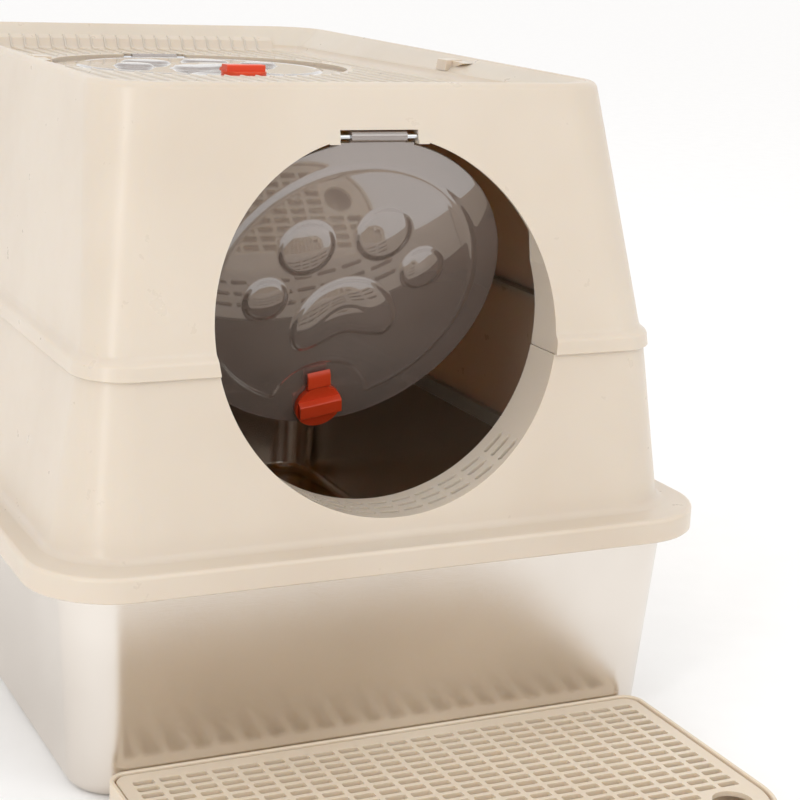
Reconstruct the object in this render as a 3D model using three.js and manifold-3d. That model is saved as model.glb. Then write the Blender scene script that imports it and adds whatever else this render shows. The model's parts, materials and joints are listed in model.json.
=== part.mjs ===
// A hooded cat litter box: a steel pan, a two-piece plastic enclosure with a swinging front
// flap and a flap in its top deck, and a slotted step in front of the pan.
// Millimetres, +X to the right seen from the front, +Y to the back, +Z up, floor at z = 0.
import * as THREE from 'three';
import { mergeVertices } from 'three/addons/utils/BufferGeometryUtils.js';
import Module from 'manifold-3d';

// ---- Enclosure: overall sizes. "In" values are insets from the brim's outline. ----
const brimHalfWidth = 210;
const brimHalfDepth = 315;
const brimCornerRadius = 50;
const brimTopZ = 140;
const brimSkirt = 14.5;             // height of the brim's outer face
const topZ = 391.6;                 // crest of the hood
const wall = 2.5;                   // plastic wall
const gap = 0.3;                    // clearance between pieces that touch

// ---- Steel pan ----
const panSheet = 1.2;
const panRimIn = 18.5;              // inset of the pan's wall at the brim
const panFloorIn = 26.2;            // the same at the floor
const panFloorRound = 8;            // rounding between wall and floor
const panCornerRadius = 30;
const panHemIn = 4;                 // inset of the turned-down hem
const panHem = 5.5;                 // height of the hem

// ---- Lower shell ----
const shellFoot = { z: 142, sideIn: 17.2, frontIn: 19.5, r: 43 };
const shellJoint = { z: 237.2, sideIn: 32.2, frontIn: 34.7, r: 27 };
const shellSpigot = 6;              // how far the shell goes up inside the hood's lip
const shellLedge = 8.5;             // inward flange at the shell's top
const shellLocatorDepth = 8;        // ring that reaches down into the pan
const shellLocatorIn = 21.5;

// ---- Hood ----
const hoodFoot = { z: shellJoint.z + 14.8, sideIn: 35.6, frontIn: 37.6, r: 26 };
const hoodCrest = { z: topZ, sideIn: 50.5, frontIn: 73.9, r: 36 };
const lip = { clearance: 0.4, height: 6.9, thickness: 2.3 };
const crestRound = 4;
const crestWidth = 2.5;             // flat top of the crest

// ---- Recess in the top, and the deck plate in it ----
const deckTilt = 0.0145;            // the deck falls towards the back, radians
const deckSeamDrop = 10.2;          // deck's edge below the crest, at the middle
const deckHalfWidth = brimHalfWidth - 73;
const deckHalfDepth = brimHalfDepth - 97;
const deckCornerRadius = 19;
const deckPlate = 2.5;
const deckDish = 4.5;               // plate's surface below its upturned edge
const deckEdge = 2.3;
const deckLedge = 10;               // hood's flange under the deck
const deckCurl = { halfWidth: deckHalfWidth - 20, length: 6.2, thickness: 1.8 };
const lug = { y: -50, length: 14, overhang: 1.5, outward: 14, belowCrest: 1.5 };

// ---- Flap: the front door and the top hatch are the same moulding ----
const flapRadius = 101;
const flapReach = flapRadius + 2;   // hinge axis to disc centre
const flapPlate = 2;
const flapTabHalfWidth = 22.5;
const barrelRadius = 3;
const barrelHalfLength = 17;
const pinRadius = 1.5;
const rib = { radius: flapRadius - 17.5, width: 3, height: 1 };
const pawPad = { height: 1.2 };
const toes = [
  { x: 23, up: 34, rx: 17, ry: 18.5 },
  { x: 49, up: 1, rx: 12.5, ry: 14.5 },
];
const palm = { halfWidth: 33, top: 8, foot: 41, waist: 31, endRadius: 11 };

// ---- Round entrance ----
const entranceRadius = flapRadius + 5;
const entranceZ = 257.3;
const entranceEndIn = 64.5;         // inset of the tunnel's inner end, at its middle
const entranceEndLean = 0.05;       // the inner end leans back by this much per mm
const tunnelWall = 2.5;
const cheek = { halfWidth: flapRadius + 3.8, lean: 0.067, topZ: 312 };
const drain = { columns: 11, pitch: 15, length: 12, width: 3, rowsIn: [31.5, 40.5, 49] };

// ---- Hinges ----
const doorHingeZ = entranceZ + flapRadius + 3.7;
const doorHingeDepth = 2.797;       // behind the outer face of the hood's front wall
const hoodLean = (hoodCrest.frontIn - hoodFoot.frontIn) / (hoodCrest.z - hoodFoot.z);
const hoodFrontIn = hoodFoot.frontIn + hoodLean * (doorHingeZ - hoodFoot.z);
const doorHinge = { y: -brimHalfDepth + hoodFrontIn + doorHingeDepth, z: doorHingeZ };
const notch = { halfWidth: 24.2, top: 4 };
const hingeBoss = { width: 6.5, radius: 4.4 };   // inside the flap's swing beside its tab
const doorOpenAngle = THREE.MathUtils.degToRad(23.5);
const hatchCentreY = deckHalfDepth - 163;
const hatchSink = 2;                // hatch's top below the deck's surface
const hatchSeatGap = 2;
const hatchSeatWidth = 5;

// ---- Turn knob ----
const knobReach = flapRadius - 14.7;   // disc centre to knob axis
const knob = { radius: 15, thickness: 3.5, shaft: 4, bead: 5.2 };
const doorKnobTurn = THREE.MathUtils.degToRad(11);
const knobGrip = { halfWidth: 13.5, top: 2, foot: 9.5, rise: 6 };
const knobTab = { halfWidth: 7.25, reach: 27, thickness: 2.5, endRise: 2.2, endLength: 12.6 };
const retainer = { radius: 8, thickness: 2 };
const knobHoleGap = 0.4;

// ---- Step ----
const stepHalfWidth = brimHalfWidth - 39;
const stepDepth = 182.6;
const stepHeight = 18.5;
const stepBackRadius = 12;
const stepFrontRadius = 44;
const stepWall = 2.5;
const stepFloor = 2;
const stepRim = 1;                  // rim of the tray above the grate
const gratePlate = 3;
const grateSkirt = 6;
const grateGap = 0.5;
const slot = { columns: 21, rows: 20, pitchX: 15.33, pitchY: 8.09, length: 12.4, width: 5.2, edge: 6 };
const slotFieldBack = 15.9;         // tray's back face to the first row of slots
const fingerHole = { radius: 11.5, fromSide: 27.2, fromFront: 35, land: 0.5 };

const CORNER_SEGMENTS = 4;
const ROUND_SEGMENTS = 48;

const wasm = await Module();
wasm.setup();

// ---------------------------------------------------------------- solids

/** A closed three.js geometry as a manifold solid. */
function solid(geometry) {
  geometry.deleteAttribute('normal');
  geometry.deleteAttribute('uv');
  const merged = mergeVertices(geometry, 1e-4);
  return new wasm.Manifold(new wasm.Mesh({
    numProp: 3,
    vertProperties: new Float32Array(merged.attributes.position.array),
    triVerts: new Uint32Array(merged.index.array),
  }));
}

/** A manifold solid as a three.js geometry. */
function toGeometry(body) {
  const mesh = body.getMesh();
  const geometry = new THREE.BufferGeometry();
  const positions = new Float32Array(mesh.vertProperties);
  geometry.setAttribute('position', new THREE.BufferAttribute(positions, 3));
  geometry.setIndex(new THREE.BufferAttribute(new Uint32Array(mesh.triVerts), 1));
  geometry.computeVertexNormals();
  return geometry;
}

/** A box between two corners. */
function box([x0, y0, z0], [x1, y1, z1]) {
  const geometry = new THREE.BoxGeometry(x1 - x0, y1 - y0, z1 - z0);
  geometry.translate((x0 + x1) / 2, (y0 + y1) / 2, (z0 + z1) / 2);
  return solid(geometry);
}

/** A cylinder along X, Y or Z, between two values on that axis. */
function cylinder(axis, radius, from, to, centre = [0, 0, 0], segments = ROUND_SEGMENTS) {
  const geometry = new THREE.CylinderGeometry(radius, radius, to - from, segments);
  if (axis === 'x') geometry.rotateZ(-Math.PI / 2);
  if (axis === 'z') geometry.rotateX(Math.PI / 2);
  const middle = (from + to) / 2;
  const [x, y, z] = centre;
  geometry.translate(
    axis === 'x' ? middle : x,
    axis === 'y' ? middle : y,
    axis === 'z' ? middle : z,
  );
  return solid(geometry);
}

/** A shape in the XZ plane, thickened along Y. */
function plateXZ(shape, y0, y1, segments = 16) {
  const geometry = new THREE.ExtrudeGeometry(shape, {
    depth: y1 - y0, bevelEnabled: false, curveSegments: segments,
  });
  geometry.rotateX(Math.PI / 2);
  geometry.translate(0, y1, 0);
  return solid(geometry);
}

/** An outline of [y, z] points, drawn out along X. */
function prismX(points, x0, x1) {
  const shape = new THREE.Shape(points.map(([y, z]) => new THREE.Vector2(y, z)));
  const geometry = new THREE.ExtrudeGeometry(shape, { depth: x1 - x0, bevelEnabled: false });
  geometry.rotateX(Math.PI / 2);
  geometry.rotateZ(Math.PI / 2);
  geometry.translate(x0, 0, 0);
  return solid(geometry);
}

/** A rectangle with round corners. */
function roundedRectangle(halfWidth, halfDepth, r) {
  const shape = new THREE.Shape();
  shape.absarc(halfWidth - r, halfDepth - r, r, 0, Math.PI / 2);
  shape.absarc(r - halfWidth, halfDepth - r, r, Math.PI / 2, Math.PI);
  shape.absarc(r - halfWidth, r - halfDepth, r, Math.PI, 1.5 * Math.PI);
  shape.absarc(halfWidth - r, r - halfDepth, r, 1.5 * Math.PI, 2 * Math.PI);
  shape.closePath();
  return shape;
}

/**
 * A solid through rounded rectangles stacked in Z. Each level has z, halfWidth, halfDepth and
 * r, may have another radius at its front corners and a centre y of its own, and may fall
 * towards the back by `fall` per mm of y, as the deck does.
 */
function loft(levels, curveSegments = CORNER_SEGMENTS) {
  const last = levels.length - 1;
  const geometry = new THREE.ExtrudeGeometry(roundedRectangle(2, 2, 1), {
    depth: last, steps: last, bevelEnabled: false, curveSegments,
  });
  const position = geometry.attributes.position;
  for (let i = 0; i < position.count; i++) {
    const here = levels[Math.round(position.getZ(i))];
    const { z, halfWidth, halfDepth, r, frontRadius = r, y = 0, fall = 0 } = here;
    const sideX = Math.sign(position.getX(i));
    const sideY = Math.sign(position.getY(i));
    const radius = sideY < 0 ? frontRadius : r;
    const newX = sideX * (halfWidth - radius) + (position.getX(i) - sideX) * radius;
    const newY = sideY * (halfDepth - radius) + (position.getY(i) - sideY) * radius + y;
    position.setXYZ(i, newX, newY, z - fall * newY);
  }
  return solid(geometry);
}

/** One loft level of the enclosure, from its insets. */
function level(z, sideIn, frontIn, r) {
  return { z, halfWidth: brimHalfWidth - sideIn, halfDepth: brimHalfDepth - frontIn, r };
}

/** The level at height z on the straight wall between two levels given by insets. */
function wallLevel(low, high, z, inset = 0) {
  const t = (z - low.z) / (high.z - low.z);
  const mix = (a, b) => a + (b - a) * t;
  return level(
    z,
    mix(low.sideIn, high.sideIn) + inset,
    mix(low.frontIn, high.frontIn) + inset,
    mix(low.r, high.r) - inset,
  );
}

/** A level part of the way from one to another: `across` of the inset and `up` of the height. */
function between(low, high, across, up) {
  const mix = (key, t) => low[key] + (high[key] - low[key]) * t;
  return {
    z: mix('z', up),
    halfWidth: mix('halfWidth', across),
    halfDepth: mix('halfDepth', across),
    r: mix('r', across),
  };
}

const shellLevel = (z, inset = 0) => wallLevel(shellFoot, shellJoint, z, inset);
const hoodLevel = (z, inset = 0) => wallLevel(hoodFoot, hoodCrest, z, inset);

/** A named mesh of one piece. */
function piece(name, body, material) {
  const mesh = new THREE.Mesh(toGeometry(body), material);
  mesh.name = name;
  return mesh;
}

// ---------------------------------------------------------------- materials

const creamPlastic = new THREE.MeshStandardMaterial({ color: 0xe1d2be, roughness: 0.42, metalness: 0 });
const stepPlastic = new THREE.MeshStandardMaterial({ color: 0xdccab0, roughness: 0.5, metalness: 0 });
const steel = new THREE.MeshStandardMaterial({ color: 0xc4c0bb, roughness: 0.3, metalness: 1 });
const pinSteel = new THREE.MeshStandardMaterial({ color: 0xb9bcbf, roughness: 0.25, metalness: 1 });
const orangePlastic = new THREE.MeshStandardMaterial({ color: 0xd8401f, roughness: 0.35, metalness: 0 });
const smokedPlastic = new THREE.MeshStandardMaterial({
  color: 0x8a8079, roughness: 0.12, metalness: 0, transparent: true, opacity: 0.55,
});

// ---------------------------------------------------------------- pan

/** Inset of the pan's outer face at height z. */
const panWallIn = (z) => panFloorIn + (panRimIn - panFloorIn) * (z / (brimTopZ - brimSkirt));

/** Deep-drawn steel pan with a turned-down hem that the brim covers. */
function litterPan() {
  const rimZ = brimTopZ - wall - gap;
  const at = (z, inset, r = panCornerRadius) => {
    const wallIn = panWallIn(z) + inset;
    return level(z, wallIn, wallIn, r - inset);
  };
  const bowl = (t) => loft([
    at(t, panFloorRound, panCornerRadius + t),
    at(t + panFloorRound * 0.13, panFloorRound * 0.5 + t * 0.5),
    at(t + panFloorRound * 0.5, panFloorRound * 0.13 + t),
    at(panFloorRound + t, t),
    at(rimZ + (t ? 1 : 0), t),
  ]);
  const hemOuter = (z, inset) => {
    const hemIn = panHemIn + inset;
    return level(z, hemIn, hemIn, brimCornerRadius - hemIn);
  };
  const hem = loft([hemOuter(rimZ - panHem, 0), hemOuter(rimZ - 1, 0), hemOuter(rimZ, 0.8)])
    .subtract(loft([hemOuter(rimZ - panHem - 1, panSheet), hemOuter(rimZ - panSheet, panSheet)]));
  return hem.add(bowl(0)).subtract(bowl(panSheet));
}

// ---------------------------------------------------------------- entrance

/** Everything in front of the plane in which the tunnel ends, for one height range. */
function beforeTunnelEnd(z0, z1) {
  const endY = (z) => -brimHalfDepth + entranceEndIn + entranceEndLean * (z - entranceZ);
  const far = -brimHalfDepth - 50;
  const half = 2 * brimHalfWidth;
  return prismX([[far, z0], [endY(z0), z0], [endY(z1), z1], [far, z1]], -half, half);
}

/** The tunnel's bore, grown by a wall: round, with flat upright cheeks beside its upper half. */
function tunnelCore(grow) {
  const y0 = -brimHalfDepth - 60;
  const y1 = -brimHalfDepth + 100;
  const round = cylinder('y', entranceRadius + grow, y0, y1, [0, 0, entranceZ], 80);
  const cheekX = (z) => cheek.halfWidth + grow - cheek.lean * (z - shellJoint.z);
  const cheekOutline = new THREE.Shape([
    new THREE.Vector2(-cheekX(shellJoint.z), shellJoint.z),
    new THREE.Vector2(cheekX(shellJoint.z), shellJoint.z),
    new THREE.Vector2(cheekX(cheek.topZ), cheek.topZ),
    new THREE.Vector2(-cheekX(cheek.topZ), cheek.topZ),
  ]);
  return { round, cheeks: plateXZ(cheekOutline, y0, y1).add(round) };
}

/** Slots through the tunnel's floor, so that litter falls back into the pan. */
function drainSlots() {
  const cuts = [];
  const side = (drain.columns - 1) / 2;
  for (let column = -side; column <= side; column++) {
    const x = column * drain.pitch;
    const outerX = Math.abs(x) + drain.length / 2;
    const innerX = Math.max(Math.abs(x) - drain.length / 2, 0);
    const floorAt = (r, at) => entranceZ - Math.sqrt(r * r - at * at);
    const z0 = floorAt(entranceRadius + tunnelWall, innerX) - 3;
    const z1 = floorAt(entranceRadius, outerX) + 3;
    for (const rowIn of drain.rowsIn) {
      const y = -brimHalfDepth + rowIn;
      cuts.push(box(
        [x - drain.length / 2, y - drain.width / 2, z0],
        [x + drain.length / 2, y + drain.width / 2, z1],
      ));
    }
  }
  return cuts.reduce((all, cut) => all.add(cut));
}

// ---------------------------------------------------------------- lower shell

const shellTopZ = shellJoint.z + shellSpigot;

function lowerShell() {
  const brim = (z, inset) => level(z, inset, inset, brimCornerRadius - inset);
  const outer = loft([
    brim(brimTopZ - brimSkirt, 0),
    brim(brimTopZ - 2, 0),
    brim(brimTopZ - 0.6, 0.7),
    brim(brimTopZ, 2.3),
    level(brimTopZ + 1, shellFoot.sideIn - 4.5, shellFoot.frontIn - 4.5, shellFoot.r + 3.5),
    level(brimTopZ + 3, shellFoot.sideIn - 0.8, shellFoot.frontIn - 0.8, shellFoot.r + 0.5),
    shellLevel(brimTopZ + 7),
    shellLevel(shellTopZ),
  ]);
  const floorZ = brimTopZ - wall;
  const underBrim = loft([brim(floorZ - 20, wall), brim(floorZ, wall)]);
  const locator = (inset, z) => {
    const ringIn = shellLocatorIn + inset;
    return level(z, ringIn, ringIn, panCornerRadius - inset);
  };
  const locatorRing = loft([locator(0, floorZ - shellLocatorDepth), locator(0, floorZ + 1)]);
  const through = loft([locator(wall, floorZ - 20), locator(wall, brimTopZ + 1)]);
  const cavity = loft([shellLevel(brimTopZ, wall), shellLevel(shellTopZ - wall, wall)]);
  const topHole = loft([
    shellLevel(shellTopZ - wall - 1, wall + shellLedge),
    shellLevel(shellTopZ + 1, wall + shellLedge),
  ]);
  const body = outer.subtract(underBrim).add(locatorRing)
    .subtract(through).subtract(cavity).subtract(topHole);

  const core = tunnelCore(0);
  const tube = tunnelCore(tunnelWall).round
    .intersect(beforeTunnelEnd(brimTopZ, shellJoint.z))
    .intersect(outer);
  // The hood's cheeks come down between the ends of the shell's ledge.
  const cheekRoom = cheek.halfWidth + tunnelWall + 2;
  const frontGap = box(
    [-cheekRoom, -brimHalfDepth - 1, shellJoint.z],
    [cheekRoom, -brimHalfDepth + entranceEndIn + 2, shellTopZ + 1],
  );
  return body.add(tube).subtract(core.round).subtract(frontGap).subtract(drainSlots());
}

// ---------------------------------------------------------------- hood

/** Height of the deck's edge plane above the floor at the middle of the deck. */
const seamZ = topZ - deckSeamDrop;

/** A loft level parallel to the deck, `below` its edge. */
function deckLevel(below, inset = 0) {
  return {
    z: seamZ - below,
    halfWidth: deckHalfWidth - inset,
    halfDepth: deckHalfDepth - inset,
    r: deckCornerRadius - inset,
    fall: deckTilt,
  };
}

/** Inner edge of the crest, grown outwards by `grow`. */
function crestLevel(grow, z = topZ) {
  const inset = crestRound + crestWidth - grow;
  return { ...hoodLevel(topZ, inset), z };
}

const seatDepth = deckDish + deckPlate + gap;

function hoodOuter() {
  const lipLevel = (z) => shellLevel(z, -lip.clearance - lip.thickness);
  const lipTop = lipLevel(shellJoint.z + lip.height);
  const foot = hoodLevel(hoodFoot.z);
  return loft([
    lipLevel(shellJoint.z),
    lipTop,
    between(lipTop, foot, 0.3, 0.3),
    between(lipTop, foot, 0.8, 0.6),
    foot,
    hoodLevel(topZ - crestRound),
    hoodLevel(topZ - crestRound * 0.3, crestRound * 0.3),
    hoodLevel(topZ, crestRound),
  ]);
}

const bossNear = notch.halfWidth + gap;
const pinHalfLength = bossNear + hingeBoss.width;

/** Round bosses that hold a hinge pin, one on each side of its notch. */
function pinBosses(y, z) {
  const centre = [0, y, z];
  return cylinder('x', hingeBoss.radius, -pinHalfLength, -bossNear, centre, 32)
    .add(cylinder('x', hingeBoss.radius, bossNear, pinHalfLength, centre, 32));
}

/** The bore for a hinge pin along X. */
function pinBore(y, z) {
  const half = pinHalfLength + 1;
  return cylinder('x', pinRadius + gap, -half, half, [0, y, z], 24);
}

/** Two snap lugs on the slopes beside the deck, over its edge. */
function deckLugs() {
  const lugZ = seamZ - deckTilt * lug.y + gap;
  const blocks = [-1, 1].map((side) => {
    const near = side * (deckHalfWidth - lug.overhang);
    const far = side * (deckHalfWidth + lug.outward);
    return box(
      [Math.min(near, far), lug.y - lug.length / 2, lugZ],
      [Math.max(near, far), lug.y + lug.length / 2, topZ - lug.belowCrest],
    );
  });
  return blocks[0].add(blocks[1]);
}

function hood() {
  const outer = hoodOuter();
  const lipZ = shellJoint.z;
  const lipCut = loft([
    shellLevel(lipZ - 1, -lip.clearance),
    shellLevel(shellTopZ + gap, -lip.clearance),
  ]);
  const cavity = loft([hoodLevel(lipZ - 1, wall), hoodLevel(topZ - 3, wall)]);
  const bowlOuter = loft([
    deckLevel(seatDepth + wall, -wall),
    deckLevel(0, -wall),
    crestLevel(wall),
  ]);
  const recess = loft([deckLevel(0), crestLevel(0), crestLevel(1, topZ + 1)]);
  const seat = loft([deckLevel(seatDepth), deckLevel(-0.5)]);
  const throughHole = loft([
    deckLevel(seatDepth + wall + 1, deckLedge),
    deckLevel(seatDepth - 1, deckLedge),
  ]);
  const shell = outer.subtract(lipCut).subtract(cavity).add(bowlOuter.intersect(outer))
    .subtract(recess).subtract(seat).subtract(throughHole);

  const core = tunnelCore(0);
  const cheeks = tunnelCore(tunnelWall).cheeks
    .intersect(beforeTunnelEnd(lipZ + gap, cheek.topZ))
    .intersect(outer)
    .subtract(core.cheeks);
  const notchCut = box(
    [-notch.halfWidth, doorHinge.y - 30, entranceZ],
    [notch.halfWidth, doorHinge.y + barrelRadius + 4, doorHinge.z + notch.top],
  );
  const lugs = deckLugs().intersect(outer);
  return shell.add(lugs).add(cheeks)
    .subtract(core.round)
    .add(pinBosses(doorHinge.y, doorHinge.z).intersect(outer))
    .subtract(notchCut)
    .subtract(pinBore(doorHinge.y, doorHinge.z));
}

// ---------------------------------------------------------------- deck

const hatchHingeY = hatchCentreY + flapReach;
/** Depth of the hatch's hinge axis under the deck's surface. */
const hatchAxisBelow = hatchSink + flapPlate / 2;

/** Deck frame: x right, y back along the plate, z up from the plate's surface. */
function deckBody() {
  const flat = (z, inset) => ({
    z,
    halfWidth: deckHalfWidth - inset,
    halfDepth: deckHalfDepth - inset,
    r: deckCornerRadius - inset,
  });
  const tray = loft([flat(-deckPlate, gap), flat(deckDish, gap)])
    .subtract(loft([
      flat(0, gap + deckEdge + 5),
      flat(0.8, gap + deckEdge + 2.2),
      flat(2.6, gap + deckEdge + 0.5),
      flat(deckDish + 1, gap + deckEdge),
    ]));

  // The back edge curls on up the hood's slope.
  const slopeRise = deckSeamDrop + deckTilt * deckHalfDepth;
  const slopeRun = brimHalfDepth - hoodCrest.frontIn - crestRound - crestWidth - deckHalfDepth;
  const slopeLength = Math.hypot(slopeRise, slopeRun);
  const up = [slopeRun / slopeLength, slopeRise / slopeLength];
  const off = [-up[1], up[0]];
  const onSlope = (along, away) => [
    deckHalfDepth + up[0] * along + off[0] * away,
    deckDish + up[1] * along + off[1] * away,
  ];
  const { length, thickness, halfWidth } = deckCurl;
  const clear = 2 * gap;
  const curl = prismX([
    [deckHalfDepth - gap - deckEdge, deckDish - 2],
    [deckHalfDepth - clear, deckDish - 2],
    [deckHalfDepth - clear, deckDish - 0.1],
    onSlope(length, clear),
    onSlope(length, clear + thickness),
    [deckHalfDepth - gap - deckEdge, deckDish + 1],
  ], -halfWidth, halfWidth);

  const seatTop = -hatchSink - flapPlate - gap;
  const seatBottom = seatTop - wall;
  const centre = [0, hatchCentreY, 0];
  const seatRadius = flapRadius + hatchSeatGap;
  const cup = cylinder('z', seatRadius + wall, seatBottom, -0.5, centre, 72);
  const recess = cylinder('z', seatRadius, seatTop, 1, centre, 72);
  const holeRadius = seatRadius - hatchSeatGap - hatchSeatWidth;
  const hole = cylinder('z', holeRadius, seatBottom - 1, seatTop + 1, centre, 72);
  const notchCut = box(
    [-notch.halfWidth, hatchHingeY - 12, seatBottom - 6],
    [notch.halfWidth, hatchHingeY + barrelRadius + 2.5, 1],
  );
  // Blocks that tie the bosses to the plate behind them.
  const blocks = [-1, 1].map((side) => box(
    [Math.min(side * bossNear, side * pinHalfLength), hatchHingeY, -hatchAxisBelow - hingeBoss.radius],
    [Math.max(side * bossNear, side * pinHalfLength), hatchHingeY + hingeBoss.radius + 2, 0],
  ));
  const underSurface = box(
    [-deckHalfWidth, hatchCentreY, seatBottom - hingeBoss.radius],
    [deckHalfWidth, deckHalfDepth, 0],
  );
  return tray.add(curl).add(cup).subtract(recess).subtract(hole).subtract(notchCut)
    .add(pinBosses(hatchHingeY, -hatchAxisBelow).intersect(underSurface))
    .add(blocks[0]).add(blocks[1])
    .subtract(pinBore(hatchHingeY, -hatchAxisBelow));
}

// ---------------------------------------------------------------- flap and its knob

/** An ellipse in the XZ plane of the flap, `up` above the disc's centre. */
function padShape(x, up, rx, ry) {
  const shape = new THREE.Shape();
  shape.absellipse(x, up - flapReach, rx, ry, 0, 2 * Math.PI);
  return shape;
}

/** The large pad of the paw: a bean with its hollow side down. */
function palmShape() {
  const { halfWidth, top, foot, waist, endRadius } = palm;
  const z = (down) => -flapReach - down;
  const endX = halfWidth - endRadius;
  const shape = new THREE.Shape();
  shape.moveTo(0, z(-top));
  shape.bezierCurveTo(-endX, z(-top), -halfWidth, z(foot - 3 * endRadius), -halfWidth, z(foot - endRadius));
  shape.absarc(-endX, z(foot - endRadius), endRadius, Math.PI, 1.5 * Math.PI);
  shape.quadraticCurveTo(0, z(waist - 5), endX, z(foot));
  shape.absarc(endX, z(foot - endRadius), endRadius, 1.5 * Math.PI, 2 * Math.PI);
  shape.bezierCurveTo(halfWidth, z(foot - 3 * endRadius), endX, z(-top), 0, z(-top));
  return shape;
}

/**
 * Flap frame: the hinge axis is X, the disc hangs down -Z and its outer face looks to -Y.
 */
function flap() {
  const half = flapPlate / 2;
  const centre = [0, 0, -flapReach];
  const knobCentre = [0, 0, -flapReach - knobReach];
  const disc = cylinder('y', flapRadius, -half, half, centre, 72);
  const tab = box([-flapTabHalfWidth, -half, -12], [flapTabHalfWidth, half, -barrelRadius - 0.5]);
  const neck = box([-barrelHalfLength, -half, -8], [barrelHalfLength, half, 0]);
  const barrel = cylinder('x', barrelRadius, -barrelHalfLength, barrelHalfLength, [0, 0, 0], 24);

  const ribY = -half - rib.height;
  const ring = (radius, at) => cylinder('y', radius + rib.width / 2, ribY, 0, at)
    .subtract(cylinder('y', radius - rib.width / 2, ribY - 1, 1, at));
  const archRadius = knobTab.reach + 9;
  const archInside = cylinder('y', archRadius, ribY - 1, 1, knobCentre);
  const ribs = ring(rib.radius, centre).subtract(archInside)
    .add(ring(archRadius, knobCentre).intersect(cylinder('y', rib.radius, ribY - 1, 1, centre)));

  const padY = -half - pawPad.height;
  const pads = [-1, 1].flatMap((side) => toes.map(
    (toe) => plateXZ(padShape(side * toe.x, toe.up, toe.rx, toe.ry), padY, 0, 10),
  ));
  pads.push(plateXZ(palmShape(), padY, 0, 5));

  const knobHole = cylinder('y', knob.shaft + knobHoleGap, -5, 5, knobCentre, 32);
  return pads.reduce((all, pad) => all.add(pad), disc.add(tab).add(neck).add(barrel).add(ribs))
    .subtract(cylinder('x', pinRadius + gap, -barrelHalfLength - 1, barrelHalfLength + 1, [0, 0, 0], 24))
    .subtract(knobHole);
}

/** Knob frame: the shaft is Y, the grip looks to -Y and the catch tab points up +Z. */
function turnKnob() {
  const back = -flapPlate / 2 - gap;
  const face = back - knob.thickness;
  const hub = cylinder('y', knob.radius, face, back, [0, 0, 0], 48);
  const grip = prismX([
    [face + 1, knobGrip.top],
    [face - 0.6, knobGrip.top],
    [face - knobGrip.rise, -knobGrip.foot + 1.5],
    [face - knobGrip.rise + 0.8, -knobGrip.foot],
    [face + 1, -knobGrip.foot],
  ], -knobGrip.halfWidth, knobGrip.halfWidth);
  // The tab steps up near its end, so that turned outwards it passes over the hatch's well.
  const { halfWidth, reach, thickness, endRise, endLength } = knobTab;
  const tabFace = back - thickness;
  const tab = prismX([
    [back, 0],
    [tabFace, 0],
    [tabFace, reach - endLength - thickness],
    [tabFace - endRise, reach - endLength],
    [tabFace - endRise, reach - thickness],
    [tabFace - endRise * 0.5, reach - thickness * 0.3],
    [tabFace, reach],
    [back - endRise, reach],
    [back - endRise, reach - endLength],
    [back, reach - endLength - 0.5],
  ], -halfWidth, halfWidth);
  const inner = flapPlate / 2 + gap + retainer.thickness;
  const shaft = cylinder('y', knob.shaft, back - 1, inner + gap + 0.1, [0, 0, 0], 32);
  const bead = cylinder('y', knob.bead, inner + gap, inner + gap + 1.6, [0, 0, 0], 32);
  return hub.add(grip).add(tab).add(shaft).add(bead);
}

/** Ring pushed onto the knob's shaft behind the flap. */
function knobRetainer() {
  const y0 = flapPlate / 2 + gap;
  const y1 = y0 + retainer.thickness;
  return cylinder('y', retainer.radius, y0, y1, [0, 0, 0], 32)
    .subtract(cylinder('y', knob.shaft + gap, y0 - 1, y1 + 1, [0, 0, 0], 32));
}

function hingePin() {
  return cylinder('x', pinRadius, -pinHalfLength, pinHalfLength, [0, 0, 0], 24);
}

// ---------------------------------------------------------------- step

/** Step frame: its tray's back face is y = 0 and it stands on z = 0. */
const stepMiddleY = -stepDepth / 2;

function stepLevel(z, inset) {
  return {
    z,
    halfWidth: stepHalfWidth - inset,
    halfDepth: stepDepth / 2 - inset,
    r: stepBackRadius - Math.min(inset, stepBackRadius - 2),
    frontRadius: stepFrontRadius - inset,
    y: stepMiddleY,
  };
}

const grateTopZ = stepHeight - stepRim;
const grateBottomZ = grateTopZ - gratePlate;

function stepTray() {
  const outer = loft([
    stepLevel(0, 1.5),
    stepLevel(1.5, 0.6),
    stepLevel(stepHeight - 0.8, 0),
    stepLevel(stepHeight, 0.7),
  ]);
  const inside = loft([stepLevel(stepFloor, stepWall + 1.5), stepLevel(stepHeight + 1, stepWall)]);
  return outer.subtract(inside);
}

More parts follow.
